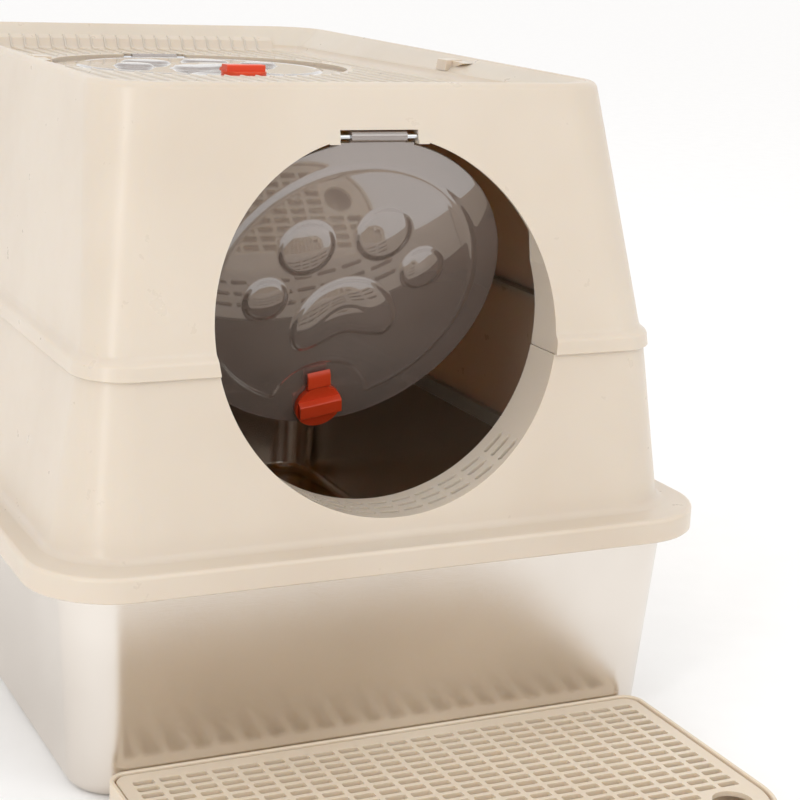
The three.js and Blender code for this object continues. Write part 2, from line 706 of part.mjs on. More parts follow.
function stepGrate() {
  const inset = stepWall + 2 * grateGap;
  const plate = loft([
    stepLevel(grateBottomZ, inset),
    stepLevel(grateTopZ - 0.6, inset),
    stepLevel(grateTopZ, inset + 0.6),
  ]);
  const skirtOuter = inset + 2;
  const skirtInner = skirtOuter + 2;
  const skirtHole = loft([
    stepLevel(grateBottomZ - grateSkirt - 1, skirtInner),
    stepLevel(grateBottomZ, skirtInner),
  ]);
  const skirt = loft([
    stepLevel(grateBottomZ - grateSkirt, skirtOuter),
    stepLevel(grateBottomZ + 1, skirtOuter),
  ]).subtract(skirtHole);
  const feet = footPosts();
  const hole = { x: stepHalfWidth - fingerHole.fromSide, y: -stepDepth + fingerHole.fromFront };
  const holeRoom = fingerHole.radius + fingerHole.land;
  const corner = { x: stepHalfWidth - stepFrontRadius, y: -stepDepth + stepFrontRadius };
  const cuts = [];
  const firstX = -((slot.columns - 1) / 2) * slot.pitchX;
  for (let column = 0; column < slot.columns; column++) {
    for (let row = 0; row < slot.rows; row++) {
      const x = firstX + column * slot.pitchX;
      const y = -slotFieldBack - row * slot.pitchY;
      const nearX = Math.max(Math.abs(x - hole.x) - slot.length / 2, 0);
      const nearY = Math.max(Math.abs(y - hole.y) - slot.width / 2, 0);
      const pastX = Math.max(Math.abs(x) + slot.length / 2 - corner.x, 0);
      const pastY = Math.max(corner.y - (y - slot.width / 2), 0);
      const nearCorner = Math.hypot(pastX, pastY) > stepFrontRadius - stepWall - slot.edge;
      if (Math.hypot(nearX, nearY) < holeRoom || (pastY > 0 && nearCorner)) continue;
      cuts.push([x, y]);
    }
  }
  return plate.subtract(slotField(cuts))
    .add(skirt)
    .add(feet)
    .subtract(cylinder('z', fingerHole.radius, 0, stepHeight + 1, [hole.x, hole.y, 0], 48));
}

/** All slots as one solid: boxes drawn out from one shape each, none touching another. */
function slotField(cuts) {
  const shapes = cuts.map(([x, y]) => {
    const [a, b] = [slot.length / 2, slot.width / 2];
    return new THREE.Shape([
      new THREE.Vector2(x - a, y - b),
      new THREE.Vector2(x + a, y - b),
      new THREE.Vector2(x + a, y + b),
      new THREE.Vector2(x - a, y + b),
    ]);
  });
  const geometry = new THREE.ExtrudeGeometry(shapes, { depth: gratePlate + 2, bevelEnabled: false });
  geometry.translate(0, 0, grateBottomZ - 1);
  return solid(geometry);
}

/** Posts under the grate that stand on the tray's floor, between slots. */
function footPosts() {
  const xs = [-3, 0, 3].map((k) => (k * 3 + (k ? Math.sign(k) * 0.5 : 0.5)) * slot.pitchX);
  const ys = [4, 12].map((row) => -slotFieldBack - (row + 0.5) * slot.pitchY);
  const posts = xs.flatMap((x) => ys.map((y) => box(
    [x - 1.4, y - 1.7, stepFloor + gap],
    [x + 1.4, y + 1.7, grateBottomZ + 0.5],
  )));
  return posts.reduce((all, post) => all.add(post));
}

// ---------------------------------------------------------------- assembly

/** A flap with its knob and retainer, in a group whose origin is the hinge axis. */
function flapGroup(flapName, knobName, retainerName, knobTurn = 0) {
  const group = new THREE.Group();
  group.add(piece(flapName, flap(), smokedPlastic));
  const knobGroup = new THREE.Group();
  knobGroup.position.z = -flapReach - knobReach;
  knobGroup.rotation.y = -knobTurn;
  knobGroup.add(piece(knobName, turnKnob(), orangePlastic));
  knobGroup.add(piece(retainerName, knobRetainer(), orangePlastic));
  group.add(knobGroup);
  return group;
}

const stepBackY = -brimHalfDepth + panWallIn(stepHeight) - 2 * gap;
const stepReach = -brimHalfDepth - (stepBackY - stepDepth);

const litterBox = new THREE.Group();
const enclosure = new THREE.Group();
litterBox.add(enclosure);
enclosure.position.y = stepReach / 2;

enclosure.add(piece('litter_pan', litterPan(), steel));
enclosure.add(piece('lower_shell', lowerShell(), creamPlastic));
enclosure.add(piece('hood', hood(), creamPlastic));

const deck = new THREE.Group();
deck.position.z = seamZ - deckDish;
deck.rotation.x = -Math.atan(deckTilt);
deck.add(piece('top_deck', deckBody(), creamPlastic));
enclosure.add(deck);

const door = flapGroup('front_door', 'door_knob', 'door_knob_retainer', doorKnobTurn);
door.position.set(0, doorHinge.y, doorHinge.z);
door.rotation.x = doorOpenAngle;
enclosure.add(door);
const doorPin = piece('door_hinge_pin', hingePin(), pinSteel);
doorPin.position.copy(door.position);
enclosure.add(doorPin);

const hatch = flapGroup('top_hatch', 'hatch_knob', 'hatch_knob_retainer');
hatch.position.set(0, hatchHingeY, -hatchAxisBelow);
hatch.rotation.x = -Math.PI / 2;
deck.add(hatch);
const hatchPin = piece('hatch_hinge_pin', hingePin(), pinSteel);
hatchPin.position.copy(hatch.position);
deck.add(hatchPin);

const step = new THREE.Group();
step.position.y = stepBackY;
step.add(piece('step_tray', stepTray(), stepPlastic));
step.add(piece('step_grate', stepGrate(), stepPlastic));
enclosure.add(step);

export default litterBox;
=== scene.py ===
"""Looks of the hooded cat litter box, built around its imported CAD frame.

Shapes are made in millimetres, in the frame of the piece that they belong to, and are put
into the row frame in metres by `finish_piece`.
"""
import json
import math
import bpy
import numpy as np
from mathutils import Matrix, Vector


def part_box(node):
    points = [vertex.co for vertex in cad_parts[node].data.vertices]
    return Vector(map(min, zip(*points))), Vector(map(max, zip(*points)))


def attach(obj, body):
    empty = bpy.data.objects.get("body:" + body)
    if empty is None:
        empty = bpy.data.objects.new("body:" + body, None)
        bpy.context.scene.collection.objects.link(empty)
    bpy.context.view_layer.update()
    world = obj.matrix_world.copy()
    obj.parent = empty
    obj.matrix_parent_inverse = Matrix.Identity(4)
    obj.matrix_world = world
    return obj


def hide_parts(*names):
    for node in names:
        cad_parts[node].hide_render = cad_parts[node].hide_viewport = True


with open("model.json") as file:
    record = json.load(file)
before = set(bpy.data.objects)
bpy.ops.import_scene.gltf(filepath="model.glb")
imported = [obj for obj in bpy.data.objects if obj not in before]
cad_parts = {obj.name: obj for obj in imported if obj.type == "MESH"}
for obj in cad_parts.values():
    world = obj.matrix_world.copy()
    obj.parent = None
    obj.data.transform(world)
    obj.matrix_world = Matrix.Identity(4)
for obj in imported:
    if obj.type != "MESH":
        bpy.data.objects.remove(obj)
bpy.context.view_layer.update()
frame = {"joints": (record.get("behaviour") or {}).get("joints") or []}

MM = 0.001


# ------------------------------------------------------------------ sizes from the frame, mm

def box_mm(node):
    low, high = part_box(node)
    return low / MM, high / MM


def joint(name):
    return next(j for j in frame["joints"] if j["name"] == name)


SHELL_LOW, SHELL_HIGH = box_mm("lower_shell")
HOOD_LOW, HOOD_HIGH = box_mm("hood")
STEP_LOW, STEP_HIGH = box_mm("step_tray")
GRATE_HIGH = box_mm("step_grate")[1]
PAN_HIGH = box_mm("litter_pan")[1]

HALF_WIDTH = SHELL_HIGH.x
HALF_DEPTH = (SHELL_HIGH.y - SHELL_LOW.y) / 2
ENCLOSURE_Y = (SHELL_HIGH.y + SHELL_LOW.y) / 2
BRIM_BOTTOM_Z = SHELL_LOW.z
BRIM_HEIGHT = 14.5
BRIM_TOP_Z = BRIM_BOTTOM_Z + BRIM_HEIGHT
SHELL_TOP_Z = SHELL_HIGH.z
JOINT_Z = HOOD_LOW.z
TOP_Z = HOOD_HIGH.z
WALL = 2.5
GAP = 0.3

ENCLOSURE = Matrix.Translation((0, ENCLOSURE_Y * MM, 0)) @ Matrix.Scale(MM, 4)

# Straight walls, as insets from the brim: (z, side, front and back, corner radius).
SHELL_FOOT = (BRIM_TOP_Z + 2, 17.2, 19.5, 43)
SHELL_HEAD = (JOINT_Z, 32.2, 34.7, 27)
HOOD_FOOT = (JOINT_Z + 14.8, 35.6, 37.6, 26)
HOOD_HEAD = (TOP_Z, 50.5, 73.9, 36)
LIP_CLEARANCE = 0.4
LIP_THICKNESS = 2.3
LIP_HEIGHT = 6.9
CREST_ROUND = 4
CREST_WIDTH = 2.5

# Entrance
ENTRANCE_R = 106
ENTRANCE_Z = JOINT_Z + 20.1
ENTRANCE_END = 64.5
ENTRANCE_LEAN = 0.05
CHEEK_HALF = 104.8
CHEEK_LEAN = 0.067
CHEEK_TOP = 312

# Deck, in its own tilted frame: z = 0 is the plate's surface
DECK_TILT = 0.0145
DECK_HALF_WIDTH = 137
DECK_HALF_DEPTH = 218
DECK_R = 19
DECK_DISH = 4.5
DECK_PLATE = 2.5
DECK_EDGE = 2.3
SEAM_DROP = 10.2
SEAM_Z = TOP_Z - SEAM_DROP
DECK = ENCLOSURE @ Matrix.Translation((0, 0, SEAM_Z - DECK_DISH)) @ Matrix.Rotation(-DECK_TILT, 4, "X")

# Flaps, in their own frame: hinge axis = X, disc below it, outer face to -Y
FLAP_R = 101
FLAP_REACH = 103
FLAP_HALF = 1.0
KNOB_REACH = 86.3
NOTCH_HALF = 24.2
BOSS_WIDTH = 6.5
PIN_R = 1.5
PIN_HALF = 31
PIN_HOLE_R = 1.8
PIN_HOLE_HALF = 33
SPINDLE_R = 4
HATCH_Y = 55
HATCH_SINK = 2
door_hinge = Vector(joint("door_swing")["pos_m"])
hatch_hinge = Vector(joint("hatch_swing")["pos_m"])
DOOR_ANGLE = math.radians(23.5)
KNOB_TURN = math.radians(11)
DOOR = Matrix.Translation(door_hinge) @ Matrix.Rotation(DOOR_ANGLE, 4, "X") @ Matrix.Scale(MM, 4)
HATCH = (Matrix.Translation(hatch_hinge) @ Matrix.Rotation(-DECK_TILT - math.pi / 2, 4, "X")
         @ Matrix.Scale(MM, 4))
DOOR_HINGE_Y = door_hinge.y / MM - ENCLOSURE_Y
DOOR_HINGE_Z = door_hinge.z / MM

# Step: z = 0 on the floor, y = 0 at the tray's back face
STEP_HALF = STEP_HIGH.x
STEP_DEPTH = STEP_HIGH.y - STEP_LOW.y
STEP_TOP = STEP_HIGH.z
STEP = Matrix.Translation((0, STEP_HIGH.y * MM, 0)) @ Matrix.Scale(MM, 4)
STEP_BACK_R = 12
STEP_FRONT_R = 44
GRATE_TOP = GRATE_HIGH.z
SLOT_COLUMNS, SLOT_ROWS = 21, 20
SLOT_PITCH_X, SLOT_PITCH_Y = 15.33, 8.09
SLOT_LENGTH, SLOT_WIDTH = 12.4, 5.2
SLOT_FIRST_Y = -15.9
FINGER_HOLE = Vector((STEP_HALF - 27.2, 35 - STEP_DEPTH, 0))
FINGER_R = 11.5


# ------------------------------------------------------------------ mesh tools

CORNER_STEPS = 16
SLOT_CORNER_STEPS = 3
QUARTERS = ((1, 1), (-1, 1), (-1, -1), (1, -1))
AXIS_ORDER = {
    "X": lambda u, v, t: (t, u, v),
    "Y": lambda u, v, t: (v, t, u),
    "Z": lambda u, v, t: (u, v, t),
}


def mesh_object(name, vertices, faces):
    mesh = bpy.data.meshes.new(name)
    mesh.from_pydata([tuple(v) for v in vertices], [], faces)
    mesh.validate()
    mesh.update()
    obj = bpy.data.objects.new(name, mesh)
    bpy.context.scene.collection.objects.link(obj)
    return obj


def level(z, side, front, r):
    """A rounded rectangle at height z, given by insets from the brim's outline."""
    return {"z": z, "w": HALF_WIDTH - side, "d": HALF_DEPTH - front, "r": r}


def on_wall(low, high, z, inset=0.0):
    """The level at height z on the straight wall between two (z, side, front, r) rows."""
    t = (z - low[0]) / (high[0] - low[0])
    side, front, r = (low[i] + (high[i] - low[i]) * t for i in (1, 2, 3))
    return level(z, side + inset, front + inset, r - inset)


def shell_level(z, inset=0.0):
    return on_wall(SHELL_FOOT, SHELL_HEAD, z, inset)


def hood_level(z, inset=0.0):
    return on_wall(HOOD_FOOT, HOOD_HEAD, z, inset)


def between(a, b, across, up):
    mixed = {k: a[k] + (b[k] - a[k]) * across for k in ("w", "d", "r")}
    mixed["z"] = a["z"] + (b["z"] - a["z"]) * up
    return mixed


def ring_points(lv):
    """Points round one level, counterclockwise from the right side."""
    w, d, r = lv["w"], lv["d"], lv["r"]
    front_r = lv.get("front_r", r)
    y0 = lv.get("y", 0)
    fall = lv.get("fall", 0)
    points = []
    for quarter, (sx, sy) in enumerate(QUARTERS):
        radius = front_r if sy < 0 else r
        for i in range(CORNER_STEPS + 1):
            a = math.pi / 2 * (quarter + i / CORNER_STEPS)
            x = sx * (w - radius) + radius * math.cos(a)
            y = y0 + sy * (d - radius) + radius * math.sin(a)
            points.append((x, y, lv["z"] - fall * y))
    return points


def loft(levels):
    """A closed solid through levels from bottom to top."""
    rings = [ring_points(lv) for lv in levels]
    n = len(rings[0])
    vertices = [p for ring in rings for p in ring]
    faces = [tuple(reversed(range(n)))]
    for k in range(len(rings) - 1):
        a, b = k * n, (k + 1) * n
        faces += [(a + i, a + (i + 1) % n, b + (i + 1) % n, b + i) for i in range(n)]
    faces.append(tuple(range((len(rings) - 1) * n, len(rings) * n)))
    return mesh_object("loft", vertices, faces)


def prism(outline, low, high, axis):
    """A counterclockwise outline drawn out along an axis.

    Its points are (y, z) along X, (z, x) along Y and (x, y) along Z.
    """
    order = AXIS_ORDER[axis]
    n = len(outline)
    vertices = [order(u, v, t) for t in (low, high) for u, v in outline]
    faces = [tuple(reversed(range(n))), tuple(range(n, 2 * n))]
    faces += [(i, (i + 1) % n, n + (i + 1) % n, n + i) for i in range(n)]
    return mesh_object("prism", vertices, faces)


def block(low, high):
    (x0, y0, z0), (x1, y1, z1) = low, high
    return prism([(x0, y0), (x1, y0), (x1, y1), (x0, y1)], z0, z1, "Z")


def circle(cu, cv, r, segments):
    return [(cu + r * math.cos(2 * math.pi * i / segments), cv + r * math.sin(2 * math.pi * i / segments))
            for i in range(segments)]


def cylinder(axis, centre, r, low, high, segments):
    x, y, z = centre
    cu, cv = {"X": (y, z), "Y": (z, x), "Z": (x, y)}[axis]
    return prism(circle(cu, cv, r, segments), low, high, axis)


def pin_hole(y, z, half):
    return cylinder("X", (0, y, z), PIN_HOLE_R, -half, half, 32)


def copy_of(obj):
    made = obj.copy()
    made.data = obj.data.copy()
    bpy.context.scene.collection.objects.link(made)
    return made


def discard(obj):
    mesh = obj.data
    bpy.data.objects.remove(obj)
    bpy.data.meshes.remove(mesh)


def boolean(target, cutter, operation):
    modifier = target.modifiers.new("boolean", "BOOLEAN")
    modifier.object = cutter
    modifier.operation = operation
    modifier.solver = "EXACT"
    apply_modifiers(target)
    discard(cutter)
    return target


def cut(target, *cutters):
    for cutter in cutters:
        boolean(target, cutter, "DIFFERENCE")
    return target


def join(target, *others):
    for other in others:
        boolean(target, other, "UNION")
    return target


def common(target, other):
    return boolean(target, other, "INTERSECT")


def apply_modifiers(obj):
    graph = bpy.context.evaluated_depsgraph_get()
    made = bpy.data.meshes.new_from_object(obj.evaluated_get(graph))
    obj.modifiers.clear()
    old = obj.data
    obj.data = made
    bpy.data.meshes.remove(old)


def finish_piece(obj, name, matrix, material, body, slot, *nodes, smooth=32, bevel=0.0):
    """Names the piece, rounds its edges, moves it into the row frame and ties it to its body."""
    if bevel:
        modifier = obj.modifiers.new("bevel", "BEVEL")
        modifier.width = bevel
        modifier.segments = 2
        modifier.limit_method = "ANGLE"
        modifier.angle_limit = math.radians(38)
        modifier.use_clamp_overlap = True
        apply_modifiers(obj)
    obj.name = name
    obj.data.name = name
    obj.data.transform(matrix)
    obj.data.polygons.foreach_set("use_smooth", [True] * len(obj.data.polygons))
    obj.data.set_sharp_from_angle(angle=math.radians(smooth))
    obj.data.materials.clear()
    obj.data.materials.append(material)
    obj.data.update()
    weighted = obj.modifiers.new("weighted", "WEIGHTED_NORMAL")
    weighted.keep_sharp = True
    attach(obj, body)
    if nodes:
        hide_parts(*nodes)
    return obj


# ------------------------------------------------------------------ materials

def new_material(name, **values):
    material = bpy.data.materials.new(name)
    material.use_nodes = True
    shader = material.node_tree.nodes["Principled BSDF"]
    for key, value in values.items():
        shader.inputs[key].default_value = value
    return material, material.node_tree, shader


def add_node(tree, kind, **values):
    made = tree.nodes.new(kind)
    for key, value in values.items():
        made.inputs[key].default_value = value
    return made


def object_coordinates(tree, scale=(1, 1, 1)):
    source = tree.nodes.new("ShaderNodeTexCoord")
    mapping = tree.nodes.new("ShaderNodeMapping")
    mapping.inputs["Scale"].default_value = scale
    tree.links.new(source.outputs["Object"], mapping.inputs["Vector"])
    return mapping.outputs["Vector"]


def noise(tree, vector, scale, detail=3.0, roughness=0.5):
    made = add_node(tree, "ShaderNodeTexNoise", Scale=scale, Detail=detail, Roughness=roughness)
    tree.links.new(vector, made.inputs["Vector"])
    return made.outputs["Fac"]


def ramp(tree, factor, low, high, start=0.3, end=0.7):
    made = tree.nodes.new("ShaderNodeValToRGB")
    made.color_ramp.elements[0].position = start
    made.color_ramp.elements[1].position = end
    made.color_ramp.elements[0].color = low
    made.color_ramp.elements[1].color = high
    tree.links.new(factor, made.inputs["Fac"])
    return made.outputs["Color"]


def grey(v):
    return (v, v, v, 1)


def srgb(r, g, b):
    """A colour given as 0 to 255 display values."""
    def linear(c):
        c /= 255
        return c / 12.92 if c <= 0.04045 else ((c + 0.055) / 1.055) ** 2.4
    return (linear(r), linear(g), linear(b), 1.0)


def bump(tree, shader, height, strength, distance=0.001):
    made = add_node(tree, "ShaderNodeBump", Strength=strength, Distance=distance)
    tree.links.new(height, made.inputs["Height"])
    tree.links.new(made.outputs["Normal"], shader.inputs["Normal"])


def moulded_plastic(name, dark, light, rough_low, rough_high, grain=0.08):
    """Injection-moulded plastic: faint clouding, uneven gloss and a fine orange-peel grain."""
    material, tree, shader = new_material(name)
    vector = object_coordinates(tree)
    clouds = noise(tree, vector, 9.0, 2.0)
    tree.links.new(ramp(tree, clouds, dark, light, 0.35, 0.65), shader.inputs["Base Color"])
    gloss = noise(tree, vector, 60.0, 4.0, 0.6)
    tree.links.new(ramp(tree, gloss, grey(rough_low), grey(rough_high)), shader.inputs["Roughness"])
    bump(tree, shader, noise(tree, vector, 900.0, 2.0), grain, 0.0002)
    shader.inputs["Subsurface Weight"].default_value = 0.27
    shader.inputs["Subsurface Radius"].default_value = (1.0, 0.72, 0.42)
    shader.inputs["Subsurface Scale"].default_value = 0.006
    return material


def drawn_steel():
    """Pressed stainless sheet: lengthwise polishing lines that stretch reflections upwards."""
    material, tree, shader = new_material("drawn_steel", Metallic=1.0)
    vector = object_coordinates(tree, (1, 1, 14))
    lines = noise(tree, vector, 260.0, 4.0, 0.65)
    patches = noise(tree, object_coordinates(tree), 7.0, 3.0)
    tree.links.new(ramp(tree, patches, srgb(214, 206, 197), srgb(230, 223, 215)), shader.inputs["Base Color"])
    tree.links.new(ramp(tree, lines, grey(0.17), grey(0.27)), shader.inputs["Roughness"])
    bump(tree, shader, lines, 0.12, 0.0004)
    return material


def pin_wire():
    material, tree, shader = new_material("pin_wire", Metallic=1.0)
    vector = object_coordinates(tree, (1, 20, 20))
    lines = noise(tree, vector, 160.0, 3.0)
    tree.links.new(ramp(tree, lines, srgb(196, 200, 205), srgb(225, 228, 232)), shader.inputs["Base Color"])
    tree.links.new(ramp(tree, lines, grey(0.16), grey(0.3)), shader.inputs["Roughness"])
    bump(tree, shader, lines, 0.1, 0.0002)
    return material


def smoked_sheet():
    """Smoke-tinted clear plastic, a little milky, with faint flow waves."""
    material, tree, shader = new_material("smoked_sheet", IOR=1.5)
    shader.inputs["Transmission Weight"].default_value = 0.55
    shader.inputs["Specular IOR Level"].default_value = 1.0
    shader.inputs["Coat Weight"].default_value = 1.0
    shader.inputs["Coat IOR"].default_value = 2.05
    shader.inputs["Coat Roughness"].default_value = 0.02
    vector = object_coordinates(tree)
    flow = noise(tree, vector, 14.0, 2.0)
    tree.links.new(ramp(tree, flow, srgb(164, 148, 138), srgb(174, 159, 150)), shader.inputs["Base Color"])
    smears = noise(tree, vector, 45.0, 4.0, 0.6)
    tree.links.new(ramp(tree, smears, grey(0.03), grey(0.09)), shader.inputs["Roughness"])
    bump(tree, shader, noise(tree, vector, 22.0, 1.0), 0.06, 0.0015)
    return material


cream = moulded_plastic("cream_plastic", srgb(208, 194, 177), srgb(213, 200, 184), 0.27, 0.35)
step_cream = moulded_plastic("step_plastic", srgb(220, 204, 183), srgb(225, 210, 190), 0.36, 0.46, 0.1)
orange = moulded_plastic("orange_plastic", srgb(214, 66, 30), srgb(222, 76, 38), 0.28, 0.38, 0.06)
steel = drawn_steel()
pin_steel = pin_wire()
smoke = smoked_sheet()


# ------------------------------------------------------------------ pan

def litter_pan():
    rim_z = PAN_HIGH.z
    sheet = 1.2

    def at(z, inset=0.0, r=30.0):
        side = 26.2 + (18.5 - 26.2) * z / BRIM_BOTTOM_Z + inset
        return level(z, side, side, r - inset)

    def bowl(t):
        foot = 8.0
        levels = []
        for i in range(7):
            a = math.pi / 2 * i / 6
            z = t + foot * (1 - math.sin(math.pi / 2 - a))
            levels.append(at(z, foot * (1 - math.sin(a)) + t, 30 + 0.3 * t))
        return levels + [at(rim_z - 12, t), at(rim_z + (1 if t else 0), t)]

    def hem(z, inset):
        return level(z, 4 + inset, 4 + inset, 46 - inset)

    flange = loft([hem(rim_z - 5.5, 0), hem(rim_z - 1.6, 0), hem(rim_z - 0.5, 0.5), hem(rim_z, 1.6)])
    cut(flange, loft([hem(rim_z - 7, sheet), hem(rim_z - sheet, sheet)]))
    join(flange, loft(bowl(0)))
    cut(flange, loft(bowl(sheet)))
    return finish_piece(flange, "pan_pressing", ENCLOSURE, steel, "pan", "steel", "litter_pan")


# ------------------------------------------------------------------ enclosure

def before_tunnel_end(z0, z1):
    def end_y(z):
        return -HALF_DEPTH + ENTRANCE_END + ENTRANCE_LEAN * (z - ENTRANCE_Z)
    far = -HALF_DEPTH - 50
    return prism([(far, z0), (end_y(z0), z0), (end_y(z1), z1), (far, z1)], -300, 300, "X")


def tunnel_round(grow):
    return cylinder("Y", (0, 0, ENTRANCE_Z), ENTRANCE_R + grow, -HALF_DEPTH - 60, -HALF_DEPTH + 100, 192)


def tunnel_cheeks(grow):
    def x_at(z):
        return CHEEK_HALF + grow - CHEEK_LEAN * (z - JOINT_Z)
    low, high = JOINT_Z - 4 + grow, CHEEK_TOP + 8 - grow
    outline = [(low, -x_at(low)), (high, -x_at(high)), (high, x_at(high)), (low, x_at(low))]
    return prism(outline, -HALF_DEPTH - 55 - grow, -HALF_DEPTH + 95 + grow, "Y")


def drain_slots():
    """Three rows of slots through the tunnel's floor, cut straight down."""
    vertices, faces = [], []
    for column in range(-5, 6):
        x = column * 15.0
        for row_in in (31.5, 40.5, 49.0):
            outline = slot_outline(x, -HALF_DEPTH + row_in, 12.0, 3.0, 1.2)
            near, far = max(abs(x) - 6, 0), abs(x) + 6
            low = ENTRANCE_Z - math.sqrt((ENTRANCE_R + WALL) ** 2 - near ** 2) - 3
            high = ENTRANCE_Z - math.sqrt(ENTRANCE_R ** 2 - far ** 2) + 3
            add_prism(vertices, faces, outline, low, high)
    return mesh_object("drain", vertices, faces)


def slot_outline(x, y, length, width, r):
    points = []
    for quarter, (sx, sy) in enumerate(QUARTERS):
        for i in range(SLOT_CORNER_STEPS + 1):
            a = math.pi / 2 * (quarter + i / SLOT_CORNER_STEPS)
            points.append((x + sx * (length / 2 - r) + r * math.cos(a),
                           y + sy * (width / 2 - r) + r * math.sin(a)))
    return points


def add_prism(vertices, faces, outline, low, high):
    start, n = len(vertices), len(outline)
    vertices += [(u, v, low) for u, v in outline] + [(u, v, high) for u, v in outline]
    faces.append(tuple(start + i for i in reversed(range(n))))
    faces.append(tuple(start + n + i for i in range(n)))
    faces += [(start + i, start + (i + 1) % n, start + n + (i + 1) % n, start + n + i) for i in range(n)]


def arc_levels(make, z0, r, steps):
    """Levels over a rounded upper edge of radius r whose top is at z0 + r."""
    turns = [math.pi / 2 * i / steps for i in range(steps + 1)]
    return [make(z0 + r * math.sin(a), r * (1 - math.cos(a))) for a in turns]


def lower_shell():
    def brim(z, inset):
        return level(z, inset, inset, 50 - inset)

    foot = SHELL_FOOT
    levels = [brim(BRIM_BOTTOM_Z, 0.6), brim(BRIM_BOTTOM_Z + 0.6, 0)]
    levels += arc_levels(brim, BRIM_TOP_Z - 2.6, 2.6, 5)
    levels += [
        level(BRIM_TOP_Z + 0.25, foot[1] - 5.5, foot[2] - 5.5, foot[3] + 4.5),
        level(BRIM_TOP_Z + 1.0, foot[1] - 2.8, foot[2] - 2.8, foot[3] + 2.6),
        level(BRIM_TOP_Z + 2.4, foot[1] - 1.0, foot[2] - 1.0, foot[3] + 1.0),
        level(BRIM_TOP_Z + 4.4, foot[1] + 0.15, foot[2] + 0.15, foot[3] - 0.2),
        shell_level(BRIM_TOP_Z + 9),
        shell_level(SHELL_TOP_Z - 0.6),
        shell_level(SHELL_TOP_Z, 0.6),
    ]
    outer = loft(levels)
    envelope = copy_of(outer)
    floor_z = BRIM_TOP_Z - WALL

    def locator(inset, z):
        return level(z, 21.5 + inset, 21.5 + inset, 30 - inset)

    cut(outer, loft([brim(floor_z - 20, WALL), brim(floor_z, WALL)]))
    join(outer, loft([locator(0, floor_z - 8), locator(0, floor_z + 1)]))
    cut(
        outer,
        loft([locator(WALL, floor_z - 20), locator(WALL, BRIM_TOP_Z + 1)]),
        loft([shell_level(BRIM_TOP_Z, WALL), shell_level(SHELL_TOP_Z - WALL, WALL)]),
        loft([shell_level(SHELL_TOP_Z - WALL - 1, WALL + 8.5), shell_level(SHELL_TOP_Z + 1, WALL + 8.5)]),
    )
    tube = common(common(tunnel_round(WALL), before_tunnel_end(BRIM_TOP_Z, JOINT_Z)), envelope)
    join(outer, tube)
    room = CHEEK_HALF + WALL + 2
    front_gap = block((-room, -HALF_DEPTH - 1, JOINT_Z),
                      (room, -HALF_DEPTH + ENTRANCE_END + 2, SHELL_TOP_Z + 1))
    cut(outer, tunnel_round(0), front_gap, drain_slots())
    return finish_piece(outer, "lower_shell_moulding", ENCLOSURE, cream, "enclosure_base", "cream_plastic",
                        "lower_shell")


def deck_level(below, inset=0.0):
    return {"z": SEAM_Z - below, "w": DECK_HALF_WIDTH - inset, "d": DECK_HALF_DEPTH - inset,
            "r": DECK_R - inset, "fall": DECK_TILT}


def crest_level(grow, z=None):
    made = hood_level(TOP_Z, CREST_ROUND + CREST_WIDTH - grow)
    made["z"] = TOP_Z if z is None else z
    return made


